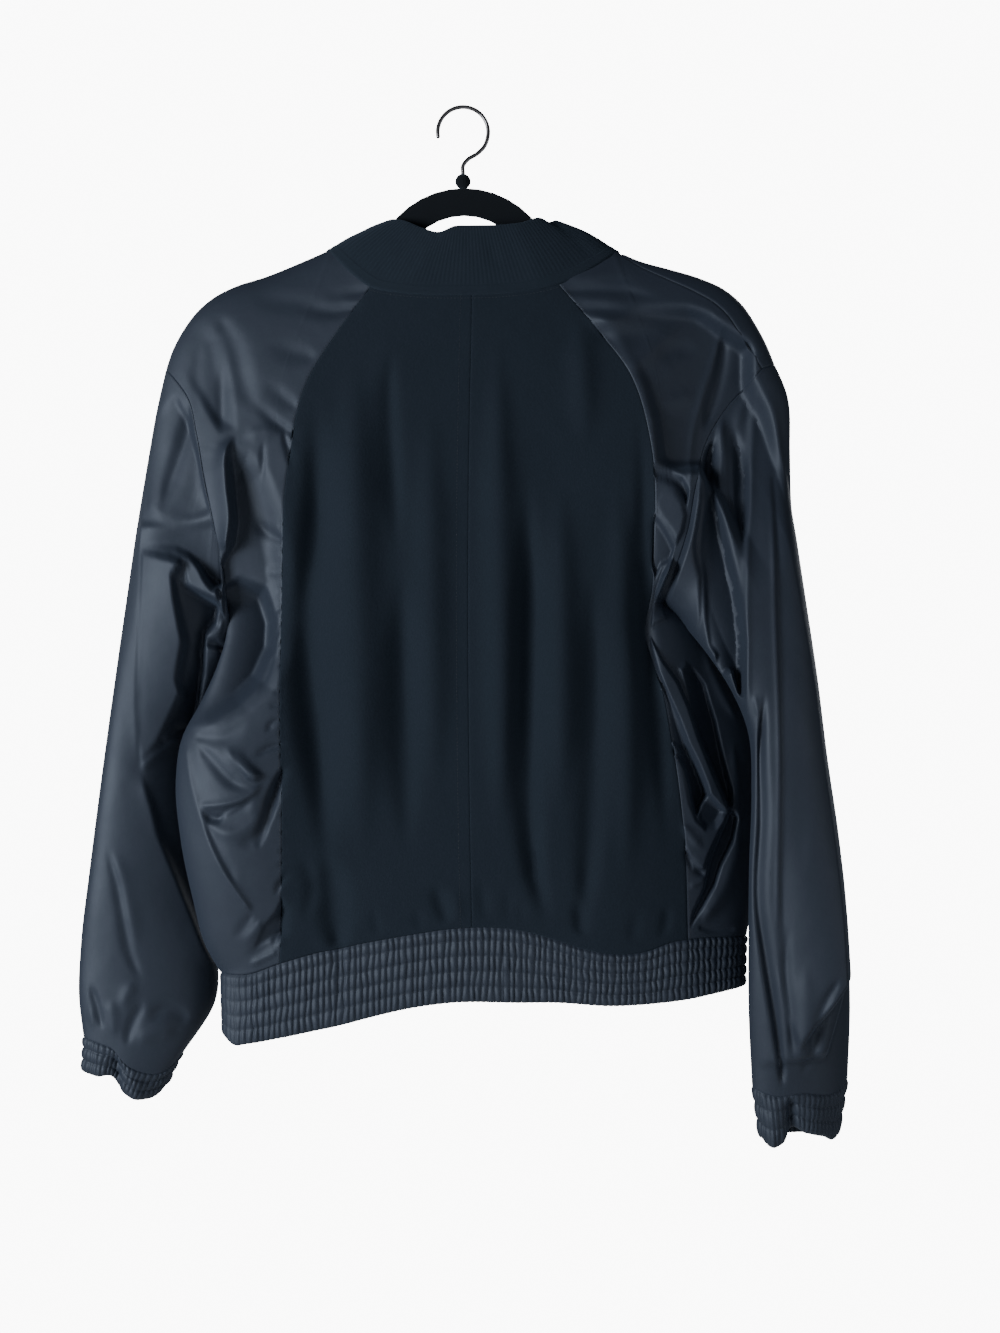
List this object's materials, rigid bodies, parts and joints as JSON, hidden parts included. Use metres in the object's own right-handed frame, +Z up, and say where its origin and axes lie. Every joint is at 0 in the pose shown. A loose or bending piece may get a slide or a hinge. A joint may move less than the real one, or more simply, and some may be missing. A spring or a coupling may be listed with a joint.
{
  "type": "bomber jacket on a hanger",
  "caption": "Short bomber jacket with a satin body, crepe back panels, a rib collar, a shirred hem and cuffs and a front zip, hanging on a slim flat hanger.",
  "frame": {"origin": "the inside of the hanger hook's crown, where a rail carries it", "axes": "+Z up; +Y out of the zipped front, so the jacket's back faces -Y; +X towards the sleeve that is on the right seen from the back"},
  "size_m": [0.648, 0.1226, 0.8674],
  "materials": {
    "satin": "dark navy satin with a soft sheen",
    "crepe": "matte dark navy crepe",
    "rib": "matte dark rib knit",
    "tape": "woven zip tape",
    "metal": "dark metal zip",
    "velvet": "black flocked plastic",
    "wire": "dark steel wire"
  },
  "bodies": {
    "jacket": {"back_centre_left": "crepe", "back_centre_right": "crepe", "back_side_left": "satin", "back_side_right": "satin", "front_left": "satin", "front_right": "satin", "sleeve_left": "satin", "sleeve_right": "satin", "cuff_left": "satin", "cuff_right": "satin", "hem_band": "satin", "collar": "rib", "zip_tape_left": "tape", "zip_tape_right": "tape", "zip_chain": "metal", "zip_slider": "metal", "hanger": "velvet", "hanger_hook": "wire"},
    "zip_pull": {"zip_pull_tab": "metal"}
  },
  "joints": [
    {"name": "zip_pull_hinge", "type": "hinge", "parent": "jacket", "child": "zip_pull", "pos_m": [0.005, 0.03133, -0.208], "axis": [1, 0, 0], "range_deg": [0, 160]}
  ]
}
